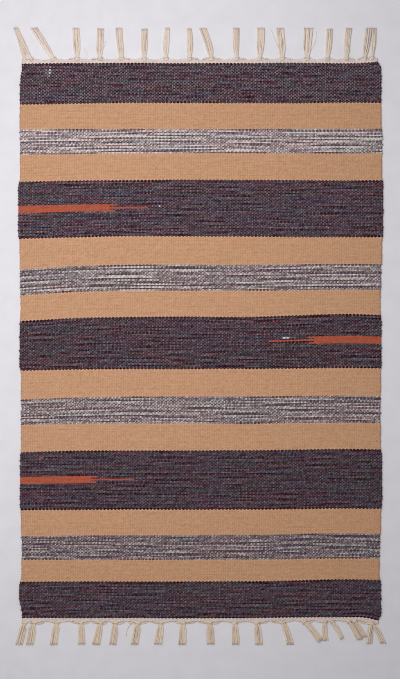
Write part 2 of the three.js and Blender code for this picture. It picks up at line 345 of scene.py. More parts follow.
def underside_points(first_pick, last_pick):
    """One point for each crossing of the lower face, with a rim of points around them."""
    middles = np.arange(first_pick, last_pick) + 0.5
    warps = np.concatenate([[0], np.arange(WARPS) + 0.5, [WARPS]])
    warp, pick = np.meshgrid(warps, np.concatenate([[first_pick], middles, [last_pick]]))
    x, y, down = place(warp, pick)
    at_edge = pick == np.floor(pick)
    height = UNDER_RELIEF * np.where(at_edge, UNDER_RIM, 0.5 * (1 + over(warp, np.floor(pick))))
    return np.stack([x, y, height], axis=-1), warp, pick


left_points, left_warp, left_pick = selvedge_points(-1)
right_points, right_warp, right_pick = selvedge_points(1)
print("points down each selvedge:", left_points.shape[0] * left_points.shape[1])

# %% [markdown]
# One mesh for each stripe
#
# Blender is happiest with a few middling meshes, so each stripe is a piece of its own, closed at both ends
# where it meets its neighbours. Points are numbered in grids, and two helpers make the faces: one for the
# cells of a grid, and one that joins a line of many points to a line of few. The map named yarn holds, for
# each point, its warp end and its pick, and every material of the cloth is drawn in those counts.

# %% Faces from grids of points
def quads(ids):
    """The cells of a grid, facing whoever sees its rows run down and its columns run to the right."""
    return np.stack([ids[:-1, :-1], ids[1:, :-1], ids[1:, 1:], ids[:-1, 1:]], axis=-1).reshape(-1, 4)


def stitch(fine, coarse, fine_at, coarse_at):
    """Triangles from an upper line of points to a lower one, facing whoever sees both run to the right."""
    triangles = []
    i, j = 0, 0
    while i < len(fine) - 1 or j < len(coarse) - 1:
        fine_next = j == len(coarse) - 1 or (i < len(fine) - 1 and fine_at[i + 1] <= coarse_at[j + 1])
        if fine_next:
            triangles.append((fine[i], coarse[j], fine[i + 1]))
            i += 1
        else:
            triangles.append((fine[i], coarse[j], coarse[j + 1]))
            j += 1
    return np.array(triangles)


def make_piece(name, points, faces, corner_map, smooth):
    """A mesh object from points in millimetres. corner_map has a row for each corner of each face."""
    mesh = bpy.data.meshes.new(name)
    mesh.from_pydata((points * MM).tolist(), [], [face for block in faces for face in block.tolist()])
    mesh.uv_layers.new(name="yarn").data.foreach_set("uv", np.asarray(corner_map, np.float32).ravel())
    mesh.polygons.foreach_set("use_smooth", smooth)
    mesh.update()
    piece = bpy.data.objects.new(name, mesh)
    bpy.context.scene.collection.objects.link(piece)
    return piece


# %% The closed mesh of a stripe
def numbered(grids):
    """The numbers of the points of several grids, counted on from one grid to the next."""
    sizes = [grid.shape[0] * grid.shape[1] for grid in grids]
    starts = np.cumsum([0] + sizes[:-1])
    return [np.arange(at, at + size).reshape(grid.shape[:2]) for at, size, grid in zip(starts, sizes, grids)]


def band_faces(grids, row_at, under_at, under_warps):
    """The faces around a stripe, and the two caps that close it where it meets its neighbours."""
    face, left, right, under = numbered(grids)
    left_side = np.hstack([face[:, :1], left])
    right_side = np.hstack([face[:, -1:], right])
    around = [
        quads(face),
        quads(left_side.T),
        quads(right_side.T[:, ::-1]),
        quads(under[::-1]),
        stitch(left[:, -1], under[:, 0], row_at, under_at),
        stitch(right[::-1, -1], under[::-1, -1], -row_at[::-1], -under_at[::-1]),
    ]
    end_at = np.concatenate([-SIDE_WARPS[::-1], warp_at[0], WARPS + SIDE_WARPS])
    far_line = np.concatenate([left[0, ::-1], face[0], right[0]])
    near_line = np.concatenate([left[-1, ::-1], face[-1], right[-1]])
    caps = [
        stitch(near_line, under[-1], end_at, under_warps),
        stitch(far_line[::-1], under[0, ::-1], -end_at[::-1], -under_warps[::-1]),
    ]
    return around, caps


def weave_band(number):
    """The closed mesh of one stripe, and for each of its faces the warp end and the pick in its middle."""
    first, last = pick_edges[number], pick_edges[number + 1]
    rows = slice(2 * first, 2 * last + 1)
    face_points = np.stack([face_x[rows], face_y[rows], face_z[rows]], axis=-1)
    under_points, under_warp, under_pick = underside_points(first, last)
    grids = [face_points, left_points[rows], right_points[rows], under_points]
    around, caps = band_faces(grids, pick_at[rows, 0], under_pick[:, 0], under_warp[0])
    faces = around + caps
    # The lower face shows the next warp end's float.
    warps = [warp_at[rows], left_warp[rows], right_warp[rows], under_warp + 1]
    picks = [pick_at[rows], left_pick[rows], right_pick[rows], under_pick]
    yarn_map = np.stack([np.concatenate([a.ravel() for a in each]) for each in (warps, picks)], axis=-1)
    corner_map = np.concatenate([yarn_map[block].reshape(-1, 2) for block in faces])
    middles = np.concatenate([yarn_map[block].mean(axis=1) for block in faces])
    smooth = np.ones(len(middles), bool)
    smooth[-sum(len(cap) for cap in caps):] = False
    points = np.concatenate([grid.reshape(-1, 3) for grid in grids])
    return make_piece("weave_" + BANDS[number].name, points, faces, corner_map, smooth), middles


woven = [weave_band(number) for number in range(len(BANDS))]
triangles = [sum(len(face.vertices) - 2 for face in piece.data.polygons) for piece, _ in woven]
print("triangles in the largest stripe:", max(triangles), "and in the whole cloth:", sum(triangles))

# %% [markdown]
# Colours and nodes
#
# Blender's colour sockets take linear values, while a colour read off a picture is sRGB, so one function
# turns one into the other. Another one adds a node, with its settings and its links in one call, which
# keeps each material short. Some sockets of a node share a name and go by number: 0 is a Mix node's factor,
# 2 and 3 are its two values, and 6 and 7 its two colours.

# %% Two helpers for materials
def linear(hex_colour):
    """An sRGB hex colour as the linear colour that Blender's sockets take, by the sRGB standard's formula."""
    parts = [int(hex_colour[i:i + 2], 16) / 255 for i in (1, 3, 5)]
    return [p / 12.92 if p <= 0.04045 else ((p + 0.055) / 1.055) ** 2.4 for p in parts] + [1.0]


def add(tree, kind, inputs=None, stops=None, **settings):
    """Adds a node. An input is a value, a socket, or a node whose first output counts. stops fill a ramp."""
    new = tree.nodes.new("ShaderNode" + kind)
    for name, value in settings.items():
        setattr(new, name, value)
    for name, value in (inputs or {}).items():
        if isinstance(value, bpy.types.Node):
            value = value.outputs[0]
        if isinstance(value, bpy.types.NodeSocket):
            tree.links.new(value, new.inputs[name])
        else:
            new.inputs[name].default_value = value
    if stops:
        ramp = new.color_ramp.elements
        ramp[0].position, ramp[-1].position = stops[0][0], stops[-1][0]
        for position, _ in stops[1:-1]:
            ramp.new(position)
        for stop, (_, colour) in zip(ramp, stops):
            stop.color = linear(colour)
    return new


def new_material(name):
    """A material without any nodes yet, and its node tree."""
    material = bpy.data.materials.new(name)
    material.use_nodes = True
    material.node_tree.nodes.clear()
    return material, material.node_tree


print("a middle grey, #808080, is in linear light:", round(linear("#808080")[0], 3))

# %% [markdown]
# The weft yarns
#
# The dark stripes are woven with a soft cotton yarn of several loose plies, black, maroon and slate grey. The
# marl yarn is a cream ply and a navy one, twisted so loosely that each shows for long runs. The tan and rust
# yarns are dyed in one bath and nearly even. A picture laid over the cloth could show all that, but it would
# be as coarse as its pixels. One recipe draws every yarn instead: how light a spot is depends on the run it
# lies in, on how high its float stands, which paints light on a float's top and shade where it dives, on
# which ply comes up there, and on chance. Painted shade also darkens the grooves between warp ends and the
# edges of the dark and marl stripes, where the tan and header yarns get painted light. A colour ramp then
# turns the lightness into the colours of the yarn. All is drawn in warp ends and picks, so it follows the
# weave.

# %% Floats and plies
# stops are the colours of the plies from dark to light. run_edge is how softly one run gives way to the next.
# single and ply are the shares in how light a spot is of each float's own chance and of the ply that comes
# up. The next share is painted shade, how much darker the cloth is between two warp ends, where it sinks. rim
# is painted shade too, how much darker it is along the stripe's edges, and below 0 it is painted light there.
# hue is how far the colour goes towards the casts, and gloss how much of the light the yarn's fuzz throws
# back without its colour.
Cotton = namedtuple("Cotton", "stops run_edge single ply ribs rim hue gloss")

# Each stripe is woven from its own lot of a yarn. shade is how light the lot came out, and lift how much more
# of its light ply shows. run_length is how many warp ends a ply shows for, and runs and floats are the shares
# in how light a spot is of the run and of the float's height. The float's height stands partly for the light
# ply that comes up on a float, and partly it paints light on the float's top and shade where it dives.
Lot = namedtuple("Lot", "shade lift run_length runs floats")

# Half the sum of warp end and pick is a float's number, and FLOAT_START makes it change where a float starts.
# PLY_RATE is how many plies come up on a warp end's width, and PLY_LEAN by how many they slant over a pick.
# PLY_DEPTH gives them a layer of the noise of their own.
FLOAT_START = 0.25
PLY_RATE = 1.3
PLY_LEAN = 0.9
PLY_DEPTH = 0.5


def float_nodes(tree, warp, pick):
    """How high a spot stands, from 1 on top of a float to -1 where it dives, and each float's chance."""
    pair = add(tree, "Math", {0: warp, 1: pick}, operation="ADD")
    phase = add(tree, "Math", {0: pair, 1: math.pi, 2: -math.pi / 2}, operation="MULTIPLY_ADD")
    height = add(tree, "Math", {0: phase}, operation="COSINE")
    half = add(tree, "Math", {0: pair, 1: 0.5, 2: FLOAT_START}, operation="MULTIPLY_ADD")
    number = add(tree, "Math", {0: half}, operation="FLOOR")
    chance_at = add(tree, "CombineXYZ", {0: number, 1: pick})
    return height, add(tree, "TexWhiteNoise", {"Vector": chance_at}, noise_dimensions="2D")


def ply_nodes(tree, warp, along, pick):
    """Each ply's own lightness where it comes up, and its hues."""
    slant = add(tree, "Math", {0: along, 1: PLY_LEAN}, operation="MULTIPLY")
    turns = add(tree, "Math", {0: warp, 1: PLY_RATE, 2: slant}, operation="MULTIPLY_ADD")
    number = add(tree, "Math", {0: turns}, operation="FLOOR")
    ply_at = add(tree, "CombineXYZ", {0: number, 1: pick, 2: PLY_DEPTH})
    ply = add(tree, "TexWhiteNoise", {"Vector": ply_at}, noise_dimensions="3D")
    return ply.outputs["Value"], add(tree, "SeparateColor", {0: ply.outputs["Color"]}).outputs


# %% [markdown]
# Runs and dots
#
# Picks go in by twos, there and back: where the one shows its light ply, its partner mostly shows the dark
# one, which draws fine lines along the weft. Between two runs, where both plies show, the light ones come up
# on every float, which draws dots, and painted light on each float's top and painted shade where it dives
# make them stronger. Runs of even length would look printed, so a noise that is stretched along the weft and
# steps from one pair of picks to the next says where a run begins and ends. Painted shade makes the cloth a
# little darker between two warp ends, and where a stripe's outermost picks bend down; the tan and header
# yarns get painted light along their edges instead.

# %% Runs, dots and painted shade
# RUN_STEP is how far apart in the noise two pairs of picks lie, so that their runs have nothing in common.
# The dots' values say how many times as strong as the lot's floats they are, which are partly painted light
# and shade on the floats.
RUN_STEP = 5.37
RUN_DETAIL = 1.5
DOTS_BETWEEN_RUNS = 1.5
DOTS_IN_RUNS = 0.35
# Only a stripe's outermost pick at each edge gets the painted edge shade.
EDGE_SHADE_PICKS = 1


def run_nodes(tree, warp, pick, run_edge, run_length):
    """How clearly a run of the light ply shows, the strength of the floats' ply and painted shade, and the
    way along the runs.
    """
    half_turn = add(tree, "Math", {0: pick, 1: math.pi}, operation="MULTIPLY")
    every_second = add(tree, "Math", {0: half_turn}, operation="COSINE")
    half_pick = add(tree, "Math", {0: pick, 1: 0.5}, operation="MULTIPLY")
    partners = add(tree, "Math", {0: half_pick}, operation="FLOOR")
    run_x = add(tree, "Math", {0: warp, 1: 1 / run_length}, operation="MULTIPLY")
    run_y = add(tree, "Math", {0: partners, 1: RUN_STEP}, operation="MULTIPLY")
    run_at = add(tree, "CombineXYZ", {0: run_x, 1: run_y})
    rough_run = add(tree, "TexNoise", {"Vector": run_at, "Scale": 1.0, "Detail": RUN_DETAIL})
    edges = {"From Min": 0.5 - run_edge, "From Max": 0.5 + run_edge, "To Min": -0.5, "To Max": 0.5}
    first_run = add(tree, "MapRange", {"Value": rough_run, **edges})
    run = add(tree, "Math", {0: first_run, 1: every_second}, operation="MULTIPLY")
    clear = add(tree, "Math", {0: first_run}, operation="ABSOLUTE")
    dot_range = {"From Max": 0.5, "To Min": DOTS_BETWEEN_RUNS, "To Max": DOTS_IN_RUNS}
    return run, add(tree, "MapRange", {"Value": clear, **dot_range}), run_x


def painted_shade_nodes(tree, warp, along, picks):
    """Where to paint shade: 1 between two warp ends and -1 on one, and 1 along the edges of a stripe that has
    these picks.
    """
    full_turn = add(tree, "Math", {0: warp, 1: 2 * math.pi}, operation="MULTIPLY")
    groove_shade_mask = add(tree, "Math", {0: full_turn}, operation="COSINE")
    middle, reach = sum(picks) / 2, (picks[1] - picks[0]) / 2 - EDGE_SHADE_PICKS
    off_middle = add(tree, "Math", {0: along, 1: middle}, operation="SUBTRACT")
    distance = add(tree, "Math", {0: off_middle}, operation="ABSOLUTE")
    return groove_shade_mask, add(tree, "Math", {0: distance, 1: reach}, operation="GREATER_THAN")


# %% [markdown]
# Hues
#
# No ply is of one colour: the maroon goes over into grey and green, and the navy into ochre. Seen close, that
# makes the yarn look spun and not printed. Two pairs of casts do it, and each is laid over the colour of the
# plies by multiplying, run by run and ply by ply.

# %% The casts of a yarn
# Between HUE_LIMITS the noise takes a run from one cast to the other, and HUE_DEPTH is another layer of it
# than the runs have. HUE_OF_PLY is the share of each ply's own hue, and HUE_FADE how much less the lightest
# plies get.
HUE_LIMITS = (0.4, 0.6)
HUE_DEPTH = 4.1
HUE_DETAIL = 2.0
HUE_OF_PLY = 0.2
HUE_FADE = 0.4

# gain brightens a pair of casts until it leaves the yarn as light as it was.
Casts = namedtuple("Casts", "first last gain")
CASTS = [Casts("#FFD0DD", "#B8E4E2", 1.38), Casts("#DEE5FF", "#F4EBD4", 1.23)]


def tint(tree, plies, light, hue, run_x, pick, ply_hues):
    """Leans the colours of the plies towards their casts, and light plies less than dark ones."""
    hue_y = add(tree, "Math", {0: pick, 1: RUN_STEP}, operation="MULTIPLY")
    hue_at = add(tree, "CombineXYZ", {0: run_x, 1: hue_y, 2: HUE_DEPTH})
    hue_runs = add(tree, "TexNoise", {"Vector": hue_at, "Scale": 1.0, "Detail": HUE_DETAIL})
    run_hues = add(tree, "SeparateColor", {0: hue_runs.outputs["Color"]}).outputs
    fade = {0: light, 1: -HUE_FADE * hue, 2: hue}
    share = add(tree, "Math", fade, operation="MULTIPLY_ADD", use_clamp=True)
    for casts, run_hue, ply_hue in zip(CASTS, run_hues, ply_hues):
        edges = {"From Min": HUE_LIMITS[0], "From Max": HUE_LIMITS[1]}
        clear_hue = add(tree, "MapRange", {"Value": run_hue, **edges})
        lean = add(tree, "Mix", {0: HUE_OF_PLY, 2: clear_hue, 3: ply_hue})
        ends = [[casts.gain * value for value in linear(cast)] for cast in (casts.first, casts.last)]
        cast = add(tree, "Mix", {0: lean, 6: ends[0], 7: ends[1]}, data_type="RGBA").outputs[2]
        mixed = {0: share, 6: plies, 7: cast}
        plies = add(tree, "Mix", mixed, data_type="RGBA", blend_type="MULTIPLY").outputs[2]
    return plies


# %% [markdown]
# Spun cotton
#
# Cotton yarn is spun from short fibres and matt. Their loose ends catch the light at a slant, which makes the
# colour a little paler there, and that is what the sheen does. Wisps of fibre run along the yarn. They are
# drawn 0.6 mm long and a quarter of a millimetre wide, which is coarser than they are, so that they show.
# Real hairs would cost millions of strands that are thinner than a pixel.

# %% The weft yarn's material
WARP_PITCH = 3.0
PICK_PITCH = 2.25
FIBRE_LENGTH = 0.6
FIBRE_WIDTH = 0.25
FIBRE_DETAIL = 2.0
FIBRE_SHARE = 0.12
FIBRE_DEPTH = 0.00018
FIBRE_BUMP = 0.6
WEFT_ROUGHNESS = 0.92
FUZZ_ROUGHNESS = 0.6
fibre_scale = (WARP_PITCH / FIBRE_LENGTH, PICK_PITCH / FIBRE_WIDTH, 1)
print("wisps of fibre on the width of a warp end:", round(fibre_scale[0], 1))


def cotton_surface(tree, colour, roughness, gloss, height, bump, depth):
    """The matt surface of spun cotton, with its output. height, bump and depth give its relief."""
    relief = add(tree, "Bump", {"Height": height, "Strength": bump, "Distance": depth})
    shader = add(tree, "BsdfPrincipled", {
        "Base Color": colour,
        "Roughness": roughness,
        "Specular IOR Level": 2 * gloss,
        "Sheen Weight": gloss,
        "Sheen Roughness": FUZZ_ROUGHNESS,
        "Normal": relief,
    })
    add(tree, "OutputMaterial", {"Surface": shader})


def weft_yarn(name, cotton, lot, picks=(0, PICKS)):
    """Cotton weft yarn, spun and dyed, matt and a little hairy. picks are the stripe's first and last."""
    material, tree = new_material(name)
    yarn_map = add(tree, "UVMap", uv_map="yarn")
    split = add(tree, "SeparateXYZ", {0: yarn_map})
    warp, along = split.outputs["X"], split.outputs["Y"]
    pick = add(tree, "Math", {0: along}, operation="FLOOR")
    height, chance = float_nodes(tree, warp, pick)
    ply, ply_hues = ply_nodes(tree, warp, along, pick)
    run, dotted, run_x = run_nodes(tree, warp, pick, cotton.run_edge, lot.run_length)
    # Painted light on each float's top and painted shade where it dives, partly for the light ply that comes
    # up there.
    ply_and_float_shade = add(tree, "Math", {0: height, 1: dotted}, operation="MULTIPLY")
    # Painted shade between two warp ends, and along the stripe's edges, where the tan and header yarns get
    # painted light.
    groove_shade_mask, rim = painted_shade_nodes(tree, warp, along, picks)
    fibre_at = add(tree, "VectorMath", {0: yarn_map, 1: fibre_scale}, operation="MULTIPLY")
    fibre = add(tree, "TexNoise", {"Vector": fibre_at, "Scale": 1.0, "Detail": FIBRE_DETAIL})

    light = 0.5 + lot.lift - (cotton.single + cotton.ply + FIBRE_SHARE) / 2
    shares = [
        (run, lot.runs),
        (ply_and_float_shade, lot.floats / 2),
        (chance, cotton.single),
        (ply, cotton.ply),
        (groove_shade_mask, -cotton.ribs / 2),
        (rim, -cotton.rim),
        (fibre, FIBRE_SHARE),
    ]
    for part, share in shares:
        light = add(tree, "Math", {0: part, 1: share, 2: light}, operation="MULTIPLY_ADD")
    plies = add(tree, "ValToRGB", {"Fac": light}, stops=cotton.stops).outputs["Color"]
    tinted = tint(tree, plies, light, cotton.hue, run_x, pick, ply_hues)
    shaded = {0: 1.0, 6: tinted, 7: (lot.shade, lot.shade, lot.shade, 1.0)}
    colour = add(tree, "Mix", shaded, data_type="RGBA", blend_type="MULTIPLY").outputs[2]
    cotton_surface(tree, colour, WEFT_ROUGHNESS, cotton.gloss, fibre, FIBRE_BUMP, FIBRE_DEPTH)
    return material


# %% Colours of the weft yarns
# Carded from fibres of several dyes and hardly twisted, so it goes over softly from maroon to slate grey.
DARK = Cotton(
    [(0, "#1E070E"), (0.25, "#34161E"), (0.45, "#47333B"), (0.65, "#594D53"), (0.85, "#6B6368"),
     (1, "#857D82")],
    run_edge=0.16, single=0.08, ply=0.38, ribs=0.05, rim=0.22, hue=0.9, gloss=0.03)
# Two plies that were dyed apart and then twisted, so light and dark stand clearly beside each other.
MARL = Cotton(
    [(0, "#4A3E46"), (0.25, "#67595C"), (0.5, "#918485"), (0.75, "#BEB0AC"), (1, "#E2D6CF")],
    run_edge=0.12, single=0.08, ply=0.5, ribs=0.05, rim=0.05, hue=0.34, gloss=0.05)
# Spun first and then dyed in one bath, so it is even. Its painted shade between warp ends is the strongest,
# and along a stripe's edges it gets painted light instead of shade.
TAN = Cotton(
    [(0, "#A77B58"), (0.5, "#C99A76"), (1, "#DDAE8A")],
    run_edge=0.3, single=0.15, ply=0.3, ribs=0.17, rim=-0.15, hue=0.12, gloss=0.08)
HEADER = TAN._replace(stops=[(0, "#BAA398"), (0.5, "#E0CDC3"), (1, "#F2E4DC")])
STRIPE_YARNS = {
    "dark": ("dark plied cotton weft", DARK),
    "marl": ("cream and navy marl cotton weft", MARL),
    "tan": ("tan dyed cotton weft", TAN),
    "header": ("undyed cotton header yarn", HEADER),
}

LOTS = {
    "dark_1": Lot(1.0, 0.02, run_length=12, runs=0.38, floats=0.56),
    "dark_2": Lot(1.0, 0.02, run_length=20, runs=0.48, floats=0.36),
    "dark_3": Lot(0.94, 0.01, run_length=20, runs=0.48, floats=0.36),
    "dark_4": Lot(0.91, 0.03, run_length=22, runs=0.45, floats=0.27),
    "dark_5": Lot(0.97, 0.04, run_length=20, runs=0.42, floats=0.24),
    "marl_1": Lot(1.0, 0.03, run_length=36, runs=0.78, floats=0.34),
    "marl_2": Lot(1.0, -0.09, run_length=40, runs=0.82, floats=0.29),
    "marl_3": Lot(1.0, -0.11, run_length=34, runs=0.63, floats=0.38),
    "marl_4": Lot(0.95, -0.17, run_length=28, runs=0.57, floats=0.37),
}
EVEN_LOT = Lot(1.0, 0.0, run_length=20, runs=0.3, floats=0.15)
INLAY_LOT = EVEN_LOT._replace(floats=0.12)

INLAY_COLOURS = {
    "rust": ("rust dyed cotton inlay yarn", [(0, "#8D3F2D"), (0.5, "#B0573E"), (1, "#C66A4E")]),
    "white": ("undyed cotton slub", [(0, "#8F898F"), (0.5, "#C8C3CC"), (1, "#F4F0F4")]),
    "grey": ("grey cotton fleck", [(0, "#544C52"), (0.5, "#867E86"), (1, "#B4ADB4")]),
    "red": ("red cotton fleck", [(0, "#702420"), (0.5, "#A8483A"), (1, "#C06A58")]),
    "plum": ("plum cotton fleck", [(0, "#4A2030"), (0.5, "#7C3A52"), (1, "#A4607C")]),
}
INLAY_YARNS = {}
for inlay, (name, stops) in INLAY_COLOURS.items():
    INLAY_YARNS[inlay] = weft_yarn(name, TAN._replace(stops=stops, ribs=0, rim=0, hue=0.25), INLAY_LOT)


def yarn_of_stripe(number):
    """The material that a stripe is woven with."""
    band = BANDS[number]
    name, cotton = STRIPE_YARNS[band.yarn]
    picks = (int(pick_edges[number]), int(pick_edges[number + 1]))
    return weft_yarn(f"{name}, {band.name}", cotton, LOTS.get(band.name, EVEN_LOT), picks)


print("yarns for inlays:", len(INLAY_YARNS), "and lots of loose yarn:", len(LOTS))

# %% [markdown]
# Inlays and flecks
#
# Three dark stripes carry a small spear, laid in with rust yarn from a selvedge: a bar of five picks whose
# end is notched twice, with the middle pick running on as a needle. A weaver would chart it as a row of
# counts, the warp ends that each pick covers, and so does the table. Those faces simply take another yarn's
# material. The flecks are single floats where a stray tuft was spun into the dark yarn, or a short slub.

# %% The charts
# first is the spear's first pick in its stripe, and reach the warp ends that each of its picks covers.
Spear = namedtuple("Spear", "stripe from_left first reach")
SPEARS = [
    Spear("dark_2", True, 17, (54, 50, 71, 50, 53)),
    Spear("dark_3", False, 15, (41, 37, 62, 37, 40)),
    Spear("dark_4", True, 18, (43, 39, 63, 39, 42)),
]

# warp and pick are counted from the far left corner of the stripe, and floats says how many stand in a row.
# A slub shows in full, and a tuft only where the yarn goes over.
Fleck = namedtuple("Fleck", "stripe pick warp yarn floats slub", defaults=[1, False])
FLECKS = [
    Fleck("dark_1", 2, 16, "grey"),
    Fleck("dark_1", 4, 14, "grey"),
    Fleck("dark_1", 4, 16, "white"),
    Fleck("dark_1", 6, 14, "grey"),
    Fleck("dark_1", 6, 16, "white"),
    Fleck("dark_1", 8, 16, "grey"),
    Fleck("dark_2", 18, 78, "white"),
    Fleck("dark_3", 15, 147, "white", floats=2, slub=True),
    Fleck("dark_3", 3, 129, "red"),
    Fleck("dark_3", 4, 136, "red"),
    Fleck("dark_3", 3, 140, "red"),
    Fleck("dark_4", 4, 11, "red", slub=True),
    Fleck("dark_4", 34, 11, "plum", slub=True),
]


def float_of(warp, pick):
    """The number of the float that lies on a warp end in a pick."""
    return np.floor((warp + pick) / 2 + FLOAT_START)


def yarn_of_faces(band, first_pick, middles):
    """For each face of a stripe, the yarn it is woven with."""
    warp, pick = middles[:, 0], np.floor(middles[:, 1]) - first_pick
    yarn = np.full(len(middles), band.yarn, dtype="<U8")
    for spear in [spear for spear in SPEARS if spear.stripe == band.name]:
        counted = warp if spear.from_left else WARPS - warp
        reach = np.array(spear.reach)
        number = np.clip(pick - spear.first, 0, len(reach) - 1).astype(int)
        laid_in = (pick >= spear.first) & (pick < spear.first + len(reach)) & (counted < reach[number])
        yarn[laid_in] = "rust"
    for fleck in [fleck for fleck in FLECKS if fleck.stripe == band.name]:
        floats_on = float_of(warp, pick + first_pick) - float_of(fleck.warp, fleck.pick + first_pick)
        beside = (floats_on >= 0) & (floats_on < fleck.floats)
        shows = fleck.slub | (over(warp, pick + first_pick) > 0)
        yarn[beside & shows & (pick == fleck.pick)] = fleck.yarn
    return yarn


rust_faces = 0
for number, (piece, middles) in enumerate(woven):
    band = BANDS[number]
    yarn = yarn_of_faces(band, pick_edges[number], middles)
    used = [band.yarn] + sorted(set(yarn) - {band.yarn})
    piece.data.materials.append(yarn_of_stripe(number))
    for each in used[1:]:
        piece.data.materials.append(INLAY_YARNS[each])
    piece.data.polygons.foreach_set("material_index", np.array([used.index(each) for each in yarn], np.int32))
    piece.data.update()
    rust_faces += int((yarn == "rust").sum())
print("faces woven with rust yarn:", rust_faces)

# %% [markdown]
# Yarn as tubes
#
# Beyond the header the warp is bare: plied cotton, a good millimetre and a half thick. A yarn is a tube
# with five sides, which looks round enough once it is shaded smooth. Each ring of points stands square to
# the path. The ring needs one direction that the path never points along: straight up for a yarn on the
# floor, and the bundle's own direction for a yarn that is wound around it.

# %% A tube along a path
YARN_SIDES = 5
UPWARD = np.array([0.0, 0.0, 1.0])
# A cut end has no way around it, so the map gives it one place, this share of the way around.
CUT_AT = 0.1


def tube(path, radius, number, reference=UPWARD):
    """Points, faces, corner map and smoothness of a closed yarn. number tells it from others in the map."""
    path = np.asarray(path, float)
    tangent = np.gradient(path, axis=0)
    tangent /= np.linalg.norm(tangent, axis=1)[:, None]
    aside = np.cross(tangent, reference)
    aside /= np.linalg.norm(aside, axis=1)[:, None]
    upper = np.cross(aside, tangent)
    angle = 2 * np.pi * np.arange(YARN_SIDES) / YARN_SIDES
    width = np.broadcast_to(radius, len(path))[:, None, None]
    around = np.cos(angle)[None, :, None] * aside[:, None] + np.sin(angle)[None, :, None] * upper[:, None]
    rings = path[:, None] + width * around
    points = np.concatenate([rings.reshape(-1, 3), path[:1], path[-1:]])
    step = np.concatenate([[0], np.cumsum(np.linalg.norm(np.diff(path, axis=0), axis=1))])

    ring_ids = np.arange(len(path) * YARN_SIDES).reshape(-1, YARN_SIDES)
    closed = np.hstack([ring_ids, ring_ids[:, :1]])
    sides = quads(closed)
    rows, columns = np.meshgrid(np.arange(len(path) - 1), np.arange(YARN_SIDES), indexing="ij")
    corner_rows = np.stack([rows, rows + 1, rows + 1, rows], axis=-1).reshape(-1)
    corner_columns = np.stack([columns, columns, columns + 1, columns + 1], axis=-1).reshape(-1)
    side_map = np.stack([number + corner_columns / (YARN_SIDES + 1), step[corner_rows]], axis=-1)
    start, end = len(points) - 2, len(points) - 1
    first, last = closed[0], closed[-1]
    start_cap = np.stack([first[1:], np.full(YARN_SIDES, start), first[:-1]], axis=-1)
    end_cap = np.stack([last[:-1], np.full(YARN_SIDES, end), last[1:]], axis=-1)
    cap_map = np.tile([[number + CUT_AT, 0.0]], (3 * YARN_SIDES, 1))
    end_map = np.tile([[number + CUT_AT, step[-1]]], (3 * YARN_SIDES, 1))
    smooth = np.arange(len(sides) + 2 * YARN_SIDES) < len(sides)
    return points, [sides, start_cap, end_cap], np.concatenate([side_map, cap_map, end_map]), smooth


def join_tubes(name, tubes):
    """All tubes in one piece."""
    points = np.concatenate([each[0] for each in tubes])
    starts = np.cumsum([0] + [len(each[0]) for each in tubes[:-1]])
    faces = [block + start for each, start in zip(tubes, starts) for block in each[1]]
    corner_map = np.concatenate([each[2] for each in tubes])
    return make_piece(name, points, faces, corner_map, np.concatenate([each[3] for each in tubes]))


def bezier(points, at):
    """Points of a Bezier curve of any order, found by dividing its polygon's sides down to one point."""
    row = [np.asarray(point, float)[None, :] + 0 * at[:, None] for point in points]
    while len(row) > 1:
        row = [a + (b - a) * at[:, None] for a, b in zip(row, row[1:])]
    return row[0]


# %% [markdown]
# The fringe
#
# The warp ends are gathered by the dozen and tied in an overhand knot close to the cloth. From the header
# each end swings over to its knot, the outermost ones nearly along the edge, and beyond the knot the ends
# lie on the floor in two or three clumps. One path takes an end all the way from the header to its cut tip.
# The tassels lie where the model has them, give or take a few millimetres.

# %% Where each tassel lies
# root and tip are measured from the middle line. bend is how far the tassel bows aside, short how much is
# missing at its tip, locks how many clumps it falls into, fan how much more than the others it widens
# towards its tip, and over how high it rides on its neighbour.
Tassel = namedtuple("Tassel", "root tip bend short locks fan over", defaults=[0, 0])
FAR_TASSELS = [
    Tassel(-289.5, -305, 3.5, 0, 2, -0.2),
    Tassel(-278.5, -304, -2, 0, 2, -0.2, 2.6),
    Tassel(-242, -274.5, 0, 0, 3),
    Tassel(-203.5, -205.5, 1.5, 0, 3),
    Tassel(-165.5, -164, -1.5, 1, 3),
    Tassel(-130, -134.5, -1, 0, 3),
    Tassel(-93, -92.5, 1, 1.5, 3),
    Tassel(-57, -54.5, -1.5, 0, 3, -0.35),
    Tassel(-18, -18.5, 1, 1, 3, -0.3),
    Tassel(18, 4, 4, 0.5, 3),
    Tassel(60, 58.5, -1, 0, 2, 0.5),
    Tassel(97.5, 100, 1, 0, 3, 0.2),
    Tassel(135, 131.5, 1, 0, 3, 0.2),
    Tassel(176, 178.5, -1, 0, 3, 0.5),
    Tassel(209.5, 213.5, 1, 1.5, 3),
    Tassel(241, 245, -1, 0.5, 3),
    Tassel(270.5, 278, 1, 0, 3),
    Tassel(283, 287.5, 1.5, 0, 2),
]
